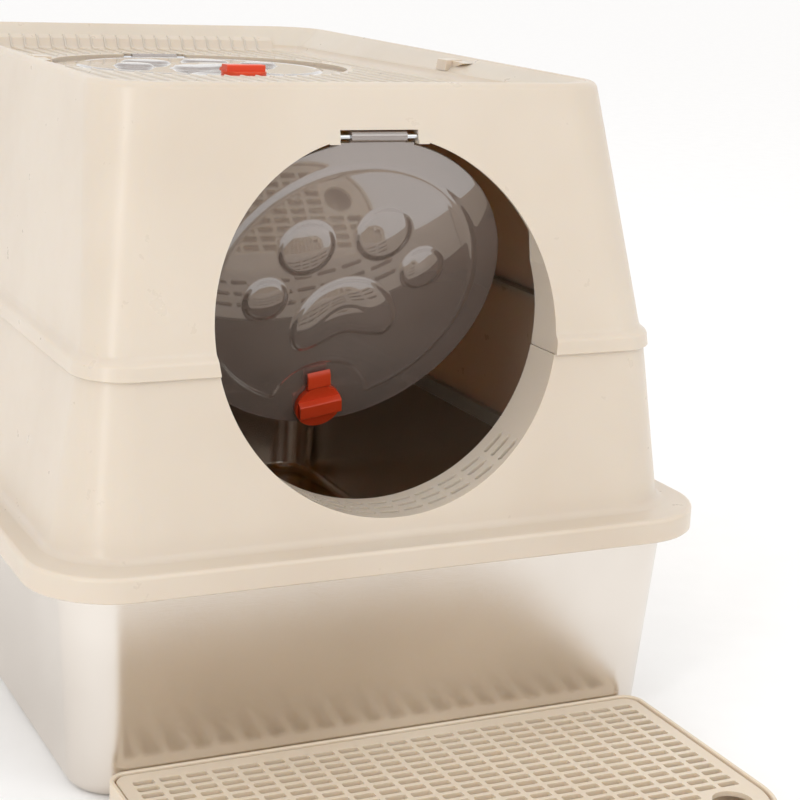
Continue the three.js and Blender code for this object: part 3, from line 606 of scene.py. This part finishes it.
def hood():
    def lip(z, inset=0.0):
        return shell_level(z, inset - LIP_CLEARANCE - LIP_THICKNESS)

    lip_top = lip(JOINT_Z + LIP_HEIGHT)
    foot = hood_level(HOOD_FOOT[0])
    levels = [lip(JOINT_Z, 0.5), lip(JOINT_Z + 0.5), lip_top]
    for across, up in ((0.05, 0.1), (0.16, 0.22), (0.34, 0.34), (0.56, 0.45), (0.78, 0.6), (0.92, 0.78)):
        levels.append(between(lip_top, foot, across, up))
    levels += [foot, hood_level(TOP_Z - 60)]
    levels += arc_levels(hood_level, TOP_Z - CREST_ROUND, CREST_ROUND, 6)
    outer = loft(levels)
    envelope = copy_of(outer)
    seat_depth = DECK_DISH + DECK_PLATE + GAP
    bowl = loft([deck_level(seat_depth + WALL, -WALL), deck_level(0, -WALL), crest_level(WALL)])
    cut(
        outer,
        loft([shell_level(JOINT_Z - 1, -LIP_CLEARANCE), shell_level(SHELL_TOP_Z + GAP, -LIP_CLEARANCE)]),
        loft([hood_level(JOINT_Z - 1, WALL), hood_level(TOP_Z - 3, WALL)]),
    )
    join(outer, common(bowl, copy_of(envelope)))
    recess = [deck_level(0), between(deck_level(0), crest_level(0), 0.93, 0.9)]
    recess[1]["fall"] = DECK_TILT * 0.1
    recess += [crest_level(0.1, TOP_Z - 0.7), crest_level(0.5, TOP_Z - 0.2), crest_level(1.1, TOP_Z),
               crest_level(2.0, TOP_Z + 1)]
    cut(
        outer,
        loft(recess),
        loft([deck_level(seat_depth), deck_level(-0.5)]),
        loft([deck_level(seat_depth + WALL + 1, 10), deck_level(seat_depth - 1, 10)]),
    )
    cheeks = join(tunnel_cheeks(WALL), tunnel_round(WALL))
    common(cheeks, before_tunnel_end(JOINT_Z + GAP, CHEEK_TOP))
    common(cheeks, copy_of(envelope))
    cut(cheeks, tunnel_cheeks(0))
    join(outer, cheeks)
    cut(outer, tunnel_round(0))
    for side in (-1, 1):
        near, far = side * (NOTCH_HALF + GAP), side * (NOTCH_HALF + GAP + BOSS_WIDTH)
        boss = block((min(near, far), DOOR_HINGE_Y - 5.2, DOOR_HINGE_Z - 4),
                     (max(near, far), DOOR_HINGE_Y + 4.5, DOOR_HINGE_Z + 4))
        join(outer, common(boss, copy_of(envelope)))
    discard(envelope)
    notch = block((-NOTCH_HALF, DOOR_HINGE_Y - 30, ENTRANCE_Z),
                  (NOTCH_HALF, DOOR_HINGE_Y + 7, DOOR_HINGE_Z + 4))
    cut(outer, notch, pin_hole(DOOR_HINGE_Y, DOOR_HINGE_Z, PIN_HOLE_HALF))
    return finish_piece(outer, "hood_moulding", ENCLOSURE, cream, "enclosure_top", "cream_plastic", "hood")


def top_lugs():
    """Snap lugs that hold the deck, each with a tail that fades into the slope."""
    lug_y = -50
    for side, name in ((-1, "deck_lug_left"), (1, "deck_lug_right")):
        z0 = SEAM_Z - DECK_TILT * lug_y + GAP
        near, far = DECK_HALF_WIDTH - 1.5, DECK_HALF_WIDTH + 11
        top = TOP_Z - 1.5
        outline = [(near, z0), (far, z0), (far, top), (near + 1, top - 0.5)]
        if side < 0:
            outline = [(-x, z) for x, z in reversed(outline)]
        body = prism([(z, x) for x, z in outline][::-1], lug_y - 7, lug_y + 7, "Y")
        tail_x = [near + 5.5, far]
        tail = [(lug_y - 6.9, z0 + 2), (lug_y - 6.9, top - 0.7), (lug_y - 24, z0 + 6.5)]
        wedge = prism(tail[::-1], *sorted(side * x for x in tail_x), "X")
        join(body, wedge)
        finish_piece(body, name, ENCLOSURE, cream, "enclosure_top", "cream_plastic", bevel=0.7)


# ------------------------------------------------------------------ deck

def curl_frame():
    """Directions along and away from the hood's slope behind the deck, as (y, z) pairs."""
    rise = SEAM_DROP + DECK_TILT * DECK_HALF_DEPTH
    run = HALF_DEPTH - HOOD_HEAD[2] - CREST_ROUND - CREST_WIDTH - DECK_HALF_DEPTH
    length = math.hypot(rise, run)
    return (run / length, rise / length), (-rise / length, run / length)


def on_curl(along, away):
    up, off = curl_frame()
    return (DECK_HALF_DEPTH + up[0] * along + off[0] * away, DECK_DISH + up[1] * along + off[1] * away)


CURL_LENGTH = 6.2
CURL_THICKNESS = 1.8
CURL_CLEAR = 0.6
CURL_HALF_WIDTH = 117


def top_deck():
    def flat(z, inset):
        return {"z": z, "w": DECK_HALF_WIDTH - inset, "d": DECK_HALF_DEPTH - inset, "r": DECK_R - inset}

    tray = loft([flat(-DECK_PLATE, GAP), flat(DECK_DISH - 0.5, GAP), flat(DECK_DISH, GAP + 0.5)])
    profile = ((0.0, 7.5), (0.35, 4.6), (1.3, 2.0), (2.8, 0.5), (DECK_DISH - 0.4, 0), (DECK_DISH + 1, -0.8))
    cut(tray, loft([flat(z, GAP + DECK_EDGE + inset) for z, inset in profile]))
    inner_y = DECK_HALF_DEPTH - GAP - DECK_EDGE
    curl = prism([
        (inner_y - 7.5, -0.3),
        (DECK_HALF_DEPTH - CURL_CLEAR, -0.3),
        (DECK_HALF_DEPTH - CURL_CLEAR, DECK_DISH - 0.1),
        on_curl(CURL_LENGTH, CURL_CLEAR),
        on_curl(CURL_LENGTH, CURL_CLEAR + CURL_THICKNESS),
        on_curl(0.5, CURL_CLEAR + CURL_THICKNESS + 1.2),
        (inner_y - 2.6, 2.0),
        (inner_y - 5.2, 0.5),
    ], -CURL_HALF_WIDTH, CURL_HALF_WIDTH, "X")
    join(tray, curl)
    seat_top = -HATCH_SINK - 2 * FLAP_HALF - GAP
    seat_r = FLAP_R + 2
    centre = (0, HATCH_Y, 0)
    join(tray, cylinder("Z", centre, seat_r + WALL, seat_top - WALL, -0.5, 144))
    cut(
        tray,
        cylinder("Z", centre, seat_r, seat_top, 2, 144),
        cylinder("Z", centre, seat_r - 7, seat_top - WALL - 1, seat_top + 1, 144),
    )
    hinge_y = HATCH_Y + FLAP_REACH
    hinge_z = -HATCH_SINK - FLAP_HALF
    cut(tray, block((-NOTCH_HALF, hinge_y - 12, seat_top - WALL - 6), (NOTCH_HALF, hinge_y + 5.5, 1)))
    for side in (-1, 1):
        near, far = side * (NOTCH_HALF + GAP), side * (NOTCH_HALF + GAP + BOSS_WIDTH)
        join(tray, block((min(near, far), hinge_y - 4, hinge_z - 4), (max(near, far), hinge_y + 6, -0.02)))
    cut(tray, pin_hole(hinge_y, hinge_z, PIN_HOLE_HALF))
    return finish_piece(tray, "deck_plate", DECK, cream, "enclosure_top", "cream_plastic", "top_deck")


RIB_PITCH = 10.4
RIB_HALF = 1.0
RIB_CROWN_HALF = 0.45
RIB_SINK = 0.1
RIB_HEIGHT = 1.1


def rib_strip(vertices, faces, x, path):
    """One rib along a (y, z, height) path: a low ridge with sloped flanks and pointed ends."""
    start = len(vertices)
    for y, z, h in path:
        vertices += [(x - RIB_HALF, y, z - RIB_SINK), (x - RIB_CROWN_HALF, y, z + h),
                     (x + RIB_CROWN_HALF, y, z + h), (x + RIB_HALF, y, z - RIB_SINK)]
    for k in range(len(path) - 1):
        a, b = start + 4 * k, start + 4 * (k + 1)
        faces += [(a + i, b + i, b + i + 1, a + i + 1) for i in range(3)]
        faces.append((a + 3, b + 3, b, a))
    faces.append((start, start + 1, start + 2, start + 3))
    end = start + 4 * (len(path) - 1)
    faces.append((end + 3, end + 2, end + 1, end))


def deck_ribs():
    """Anti-slip ribs from front to back that climb the curl behind, and stop round the hatch."""
    vertices, faces = [], []
    front = -DECK_HALF_DEPTH + 12
    inner_y = DECK_HALF_DEPTH - GAP - DECK_EDGE
    back = inner_y - 7.5
    clear = FLAP_R + 2 + 4.5
    count = int((DECK_HALF_WIDTH - 14) // RIB_PITCH)
    for k in range(-count, count + 1):
        x = k * RIB_PITCH
        if abs(x) < CURL_HALF_WIDTH - 4:
            tail = [(back, 0.02, RIB_HEIGHT), (inner_y - 5.0, 0.5, RIB_HEIGHT),
                    (inner_y - 2.6, 2.0, RIB_HEIGHT)]
            for along in (0.5, 2.5, 4.5, 5.6):
                y, z = on_curl(along, CURL_CLEAR + CURL_THICKNESS + (1.2 if along < 1 else 0.25))
                tail.append((y, z, RIB_HEIGHT if along < 5 else 0.2))
        else:
            tail = [(back - 2, 0, RIB_HEIGHT), (back, 0, 0.0)]
        begin = [(front, 0, 0.0), (front + 1.5, 0, RIB_HEIGHT)]
        if abs(x) < clear:
            half = math.sqrt(clear ** 2 - x ** 2)
            stop, go = HATCH_Y - half, HATCH_Y + half
            rib_strip(vertices, faces, x, begin + [(stop - 1.5, 0, RIB_HEIGHT), (stop, 0, 0.0)])
            if go < inner_y - 12:
                rib_strip(vertices, faces, x, [(go, 0, 0.0), (go + 1.5, 0, RIB_HEIGHT)] + tail)
        else:
            rib_strip(vertices, faces, x, begin + tail)
    ribs = mesh_object("ribs", vertices, faces)
    return finish_piece(ribs, "deck_ribs", DECK, cream, "enclosure_top", "cream_plastic", smooth=60)


# ------------------------------------------------------------------ flap relief

PAW_TURN = math.radians(10.5)
TOES = ((24, 34.8, 18, 19), (-24, 34.8, 18, 19), (49.5, 4, 14, 15), (-49.5, 4, 14, 15))
PALM = ((0, 8), (14, 4.5), (24, -3.5), (31.5, -15), (34.5, -27), (32, -36.5), (25.5, -40.8), (15, -38.5),
        (0, -33.6))


def palm_outline():
    """A smooth closed curve through the palm pad's points and their mirror images."""
    points = list(PALM) + [(-u, v) for u, v in reversed(PALM[1:-1])]
    n = len(points)
    curve = []
    for i in range(n):
        p0, p1, p2, p3 = (Vector(points[(i + k) % n]) for k in (-1, 0, 1, 2))
        for step in range(6):
            t = step / 6
            curve.append(0.5 * (2 * p1 + (p2 - p0) * t + (2 * p0 - 5 * p1 + 4 * p2 - p3) * t ** 2
                                + (3 * p1 - p0 - 3 * p2 + p3) * t ** 3))
    return np.array(curve)


def inside_distance(u, v, polygon):
    """Distance to the polygon's edge for points inside it, and 0 outside."""
    nearest = np.full(u.shape, 1e9)
    inside = np.zeros(u.shape, bool)
    for (x0, y0), (x1, y1) in zip(polygon, np.roll(polygon, -1, 0)):
        dx, dy = x1 - x0, y1 - y0
        t = np.clip(((u - x0) * dx + (v - y0) * dy) / (dx * dx + dy * dy), 0, 1)
        nearest = np.minimum(nearest, np.hypot(u - x0 - t * dx, v - y0 - t * dy))
        crosses = (y0 > v) != (y1 > v)
        inside ^= crosses & (u < x0 + (v - y0) * dx / (dy if dy else 1))
    return np.where(inside, nearest, 0.0)


def ease(t):
    t = np.clip(t, 0, 1)
    return t * t * (3 - 2 * t)


def relief(u, v):
    """How far the flap's outer face stands proud at points (u, v) from the disc's centre."""
    r, knob = np.hypot(u, v), np.hypot(u, v + KNOB_REACH)
    field = ease((84.5 - r) / 2.6) * ease((knob - 33) / 2.6)
    ring_bead = np.exp(-((r - 84) / 1.5) ** 2) * (knob > 33)
    arch_bead = np.exp(-((knob - 33.5) / 1.5) ** 2) * (r < 84)
    bead = np.maximum(ring_bead, arch_bead)
    c, s = math.cos(PAW_TURN), math.sin(PAW_TURN)
    pu, pv = c * u + s * v, c * v - s * u
    pads = np.zeros(u.shape)
    for cu, cv, ru, rv in TOES:
        q = np.hypot((pu - cu) / ru, (pv - cv) / rv)
        pads = np.maximum(pads, 1.5 * ease((1 - q) / 0.2) + 1.3 * np.clip(1 - q * q, 0, 1))
    depth = inside_distance(pu, pv, palm_outline())
    palm = 1.5 * ease(depth / 3.5) + 1.5 * np.clip(1 - (1 - depth / 16) ** 2, 0, 1) * (depth > 0)
    return 0.7 * field + 0.9 * bead + np.maximum(pads, palm)


def flap_disc():
    rings, around = 101, 288
    edge = 0.7
    vertices, faces = [], []
    ring, turn = np.meshgrid(np.arange(1, rings + 1) / rings * (FLAP_R - edge),
                             2 * math.pi * np.arange(around) / around, indexing="ij")
    u = np.concatenate(([0.0], (ring * np.sin(turn)).ravel()))
    v = np.concatenate(([0.0], (ring * np.cos(turn)).ravel()))
    proud = relief(u, v)

    def surface(y):
        start = len(vertices)
        vertices.extend(zip(u, y - proud, v - FLAP_REACH))
        return start

    front, back = surface(-FLAP_HALF), surface(FLAP_HALF)

    def at(base, k, i):
        return base + 1 + (k - 1) * around + i % around

    for i in range(around):
        faces.append((front, at(front, 1, i), at(front, 1, i + 1)))
        faces.append((back, at(back, 1, i + 1), at(back, 1, i)))
        for k in range(1, rings):
            faces.append((at(front, k, i), at(front, k + 1, i), at(front, k + 1, i + 1), at(front, k, i + 1)))
            faces.append((at(back, k, i + 1), at(back, k + 1, i + 1), at(back, k + 1, i), at(back, k, i)))
    rim = []
    for a in (-60, -30, 0, 30, 60):
        base = len(vertices)
        rim.append(base)
        t = math.radians(a)
        r = FLAP_R - edge + edge * math.cos(t)
        y = FLAP_HALF * math.sin(t)
        vertices.extend((r * math.sin(2 * math.pi * i / around), y,
                         r * math.cos(2 * math.pi * i / around) - FLAP_REACH) for i in range(around))
    for i in range(around):
        j = (i + 1) % around
        faces.append((at(front, rings, i), rim[0] + i, rim[0] + j, at(front, rings, j)))
        for a, b in zip(rim, rim[1:]):
            faces.append((a + i, b + i, b + j, a + j))
        faces.append((rim[-1] + i, at(back, rings, i), at(back, rings, j), rim[-1] + j))
    return mesh_object("disc", vertices, faces)


def flap_strip(low, high, half):
    """A flat strip of the flap between two heights, as wide as twice half."""
    return prism([(-FLAP_HALF, low), (FLAP_HALF, low), (FLAP_HALF, high), (-FLAP_HALF, high)],
                 -half, half, "X")


def flap(name, matrix, body, node):
    disc = flap_disc()
    neck = flap_strip(-9, 0, 17)
    tab = flap_strip(-13, -3.4, 23.2)
    barrel = cylinder("X", (0, 0, 0), 3.2, -17.2, 17.2, 48)
    join(tab, neck, barrel)
    join(tab, disc)
    cut(tab, pin_hole(0, 0, 18),
        cylinder("Y", (0, 0, -FLAP_REACH - KNOB_REACH), SPINDLE_R + 0.4, -6, 6, 48))
    return finish_piece(tab, name, matrix, smoke, body, "smoked_plastic", node, smooth=40)


# ------------------------------------------------------------------ knob, retainer and pin

def turn_knob(name, matrix, body, node):
    back = -FLAP_HALF - GAP
    face = back - 3.5
    hub = cylinder("Y", (0, 0, 0), 15, face, back, 96)
    grip = prism([
        (face + 1.5, 6.4),
        (face - 0.4, 6.4),
        (face - 3.9, 5.6),
        (face - 4.4, 4.9),
        (face - 4.4, -3.8),
        (face - 3.8, -4.6),
        (face + 1.5, -4.6),
    ][::-1], -13.5, 13.5, "X")
    tab = prism([
        (back, 0), (back, 15.7), (back - 2.2, 16.2), (back - 2.2, 27), (back - 2.6, 27.4), (back - 3.6, 26.8),
        (back - 4.7, 24.5), (back - 4.7, 16.4), (back - 2.5, 13.7), (back - 2.5, 0),
    ], -7.25, 7.25, "X")
    join(hub, tab, grip)
    join(hub, cylinder("Y", (0, 0, 0), SPINDLE_R, back - 1, FLAP_HALF + 2.7, 40),
         cylinder("Y", (0, 0, 0), 5.2, FLAP_HALF + 2.6, FLAP_HALF + 4.2, 40))
    return finish_piece(hub, name, matrix, orange, body, "orange_plastic", node, bevel=0.55)


def retainer(name, matrix, body, node):
    ring = cylinder("Y", (0, 0, 0), 8, FLAP_HALF + GAP, FLAP_HALF + 2.3, 64)
    cut(ring, cylinder("Y", (0, 0, 0), SPINDLE_R + 0.3, 0, 5, 48))
    return finish_piece(ring, name, matrix, orange, body, "orange_plastic", node, bevel=0.35)


def hinge_pin(name, matrix, node):
    pin = cylinder("X", (0, 0, 0), PIN_R, -PIN_HALF, PIN_HALF, 32)
    return finish_piece(pin, name, matrix, pin_steel, "enclosure_top", "pin_steel", node, bevel=0.3)


# ------------------------------------------------------------------ step

def step_level(z, inset):
    return {"z": z, "w": STEP_HALF - inset, "d": STEP_DEPTH / 2 - inset, "r": max(STEP_BACK_R - inset, 2),
            "front_r": STEP_FRONT_R - inset, "y": -STEP_DEPTH / 2}


def step_tray():
    levels = [step_level(0, 1.6), step_level(0.4, 0.9), step_level(1.4, 0.3), step_level(3, 0)]
    levels += arc_levels(step_level, STEP_TOP - 0.9, 0.9, 3)
    tray = loft(levels)
    cut(tray, loft([step_level(2, 5), step_level(3, 3.4), step_level(5, 2.6), step_level(STEP_TOP - 0.6, 2.5),
                    step_level(STEP_TOP + 0.6, 1.7)]))
    return finish_piece(tray, "step_pan", STEP, step_cream, "step", "step_plastic", "step_tray")


def step_grate():
    inset = 3.5
    bottom = GRATE_TOP - 3
    plate = loft([step_level(bottom, inset), step_level(GRATE_TOP - 0.9, inset),
                  step_level(GRATE_TOP - 0.25, inset + 0.3), step_level(GRATE_TOP, inset + 0.95)])
    skirt = loft([step_level(bottom - 6, inset + 2), step_level(bottom + 0.5, inset + 2)])
    cut(skirt, loft([step_level(bottom - 7, inset + 4), step_level(bottom + 1, inset + 4)]))
    join(plate, skirt)
    corner = Vector((STEP_HALF - STEP_FRONT_R, STEP_FRONT_R - STEP_DEPTH, 0))
    vertices, faces = [], []
    for column in range(SLOT_COLUMNS):
        x = (column - (SLOT_COLUMNS - 1) / 2) * SLOT_PITCH_X
        for row in range(SLOT_ROWS):
            y = SLOT_FIRST_Y - row * SLOT_PITCH_Y
            near = math.hypot(max(abs(x - FINGER_HOLE.x) - SLOT_LENGTH / 2, 0),
                              max(abs(y - FINGER_HOLE.y) - SLOT_WIDTH / 2, 0))
            past_x = max(abs(x) + SLOT_LENGTH / 2 - corner.x, 0)
            past_y = max(corner.y - (y - SLOT_WIDTH / 2), 0)
            outside = math.hypot(past_x, past_y) > STEP_FRONT_R - 8.5
            if near < FINGER_R + 0.5 or (past_y > 0 and outside):
                continue
            outline = slot_outline(x, y, SLOT_LENGTH, SLOT_WIDTH, 1.3)
            add_prism(vertices, faces, outline, bottom - 1, GRATE_TOP + 1)
    cut(plate, mesh_object("slots", vertices, faces))
    cut(plate, cylinder("Z", FINGER_HOLE, FINGER_R, 0, STEP_TOP + 1, 96))
    for x in (-9.5, 0.5, 9.5):
        for row in (4.5, 12.5):
            px, py = x * SLOT_PITCH_X, SLOT_FIRST_Y - row * SLOT_PITCH_Y
            join(plate, block((px - 1.4, py - 1.4, 2.3), (px + 1.4, py + 1.4, bottom + 0.5)))
    return finish_piece(plate, "step_grating", STEP, step_cream, "step_cover", "step_plastic", "step_grate")


# ------------------------------------------------------------------ the object

litter_pan()
lower_shell()
hood()
top_lugs()
top_deck()
deck_ribs()

KNOB_PLACE = Matrix.Translation((0, 0, -FLAP_REACH - KNOB_REACH))
door_knob_place = DOOR @ KNOB_PLACE @ Matrix.Rotation(-KNOB_TURN, 4, "Y")
flap("door_panel", DOOR, "door", "front_door")
turn_knob("door_turn_knob", door_knob_place, "door_lock", "door_knob")
retainer("door_knob_ring", DOOR @ KNOB_PLACE, "door_lock", "door_knob_retainer")
hinge_pin("door_pin", DOOR, "door_hinge_pin")

flap("hatch_panel", HATCH, "hatch", "top_hatch")
turn_knob("hatch_turn_knob", HATCH @ KNOB_PLACE, "hatch_lock", "hatch_knob")
retainer("hatch_knob_ring", HATCH @ KNOB_PLACE, "hatch_lock", "hatch_knob_retainer")
hinge_pin("hatch_pin", HATCH, "hatch_hinge_pin")

step_tray()
step_grate()


# ------------------------------------------------------------------ floor, light and camera

def studio():
    floor = mesh_object("floor", [(-40, -40, 0), (40, -40, 0), (40, 40, 0), (-40, 40, 0)], [(0, 1, 2, 3)])
    paper, tree, shader = new_material("floor_paper", Roughness=0.9)
    fibres = noise(tree, object_coordinates(tree), 30.0, 3.0)
    tree.links.new(ramp(tree, fibres, grey(0.965), grey(0.985)), shader.inputs["Base Color"])
    floor.data.materials.append(paper)
    bpy.context.scene.view_settings.view_transform = "Standard"
    world = bpy.data.worlds.new("studio")
    bpy.context.scene.world = world
    world.use_nodes = True
    world.node_tree.nodes["Background"].inputs["Color"].default_value = (1.0, 0.99, 0.98, 1)
    world.node_tree.nodes["Background"].inputs["Strength"].default_value = 1.0


def softbox(name, place, target, size, power):
    light = bpy.data.lights.new(name, "AREA")
    light.shape = "RECTANGLE"
    light.size, light.size_y = size
    light.energy = power
    lamp = bpy.data.objects.new(name, light)
    lamp.location = place
    lamp.rotation_euler = (Vector(target) - Vector(place)).to_track_quat("-Z", "Y").to_euler()
    bpy.context.scene.collection.objects.link(lamp)


# Azimuth, elevation and roll in degrees, and the place from the front of the brim's top in mm.
CAMERA_TURN = (25.8688, 14.2709, 2.5879)
CAMERA_PLACE = (-455.92, -915.09, 345.07)
CAMERA_LENS = 86.149


def camera():
    azimuth, elevation, roll = (math.radians(a) for a in CAMERA_TURN)
    ahead = Vector((math.sin(azimuth) * math.cos(elevation), math.cos(azimuth) * math.cos(elevation),
                    -math.sin(elevation)))
    level_right = Vector((math.cos(azimuth), -math.sin(azimuth), 0))
    level_up = level_right.cross(ahead)
    right = math.cos(roll) * level_right + math.sin(roll) * level_up
    up = -math.sin(roll) * level_right + math.cos(roll) * level_up
    data = bpy.data.cameras.new("camera")
    data.lens = CAMERA_LENS
    data.sensor_width = 36.0
    data.clip_start = 0.05
    made = bpy.data.objects.new("camera", data)
    turn = Matrix((right, up, -ahead)).transposed().to_4x4()
    x, y, z = CAMERA_PLACE
    place = Vector((x, y - HALF_DEPTH + ENCLOSURE_Y, z + BRIM_TOP_Z)) * MM
    made.matrix_world = Matrix.Translation(place) @ turn
    bpy.context.scene.collection.objects.link(made)
    bpy.context.scene.camera = made


studio()
softbox("key", (0.9, -2.0, 1.9), (0, 0, 0.2), (1.2, 1.6), 6)
softbox("top", (0.1, 0.3, 2.4), (0, 0, 0.2), (2.0, 2.0), 5)
softbox("left_strip", (-1.7, -1.4, 0.9), (-0.1, -0.2, 0.2), (0.3, 1.8), 9)
camera()
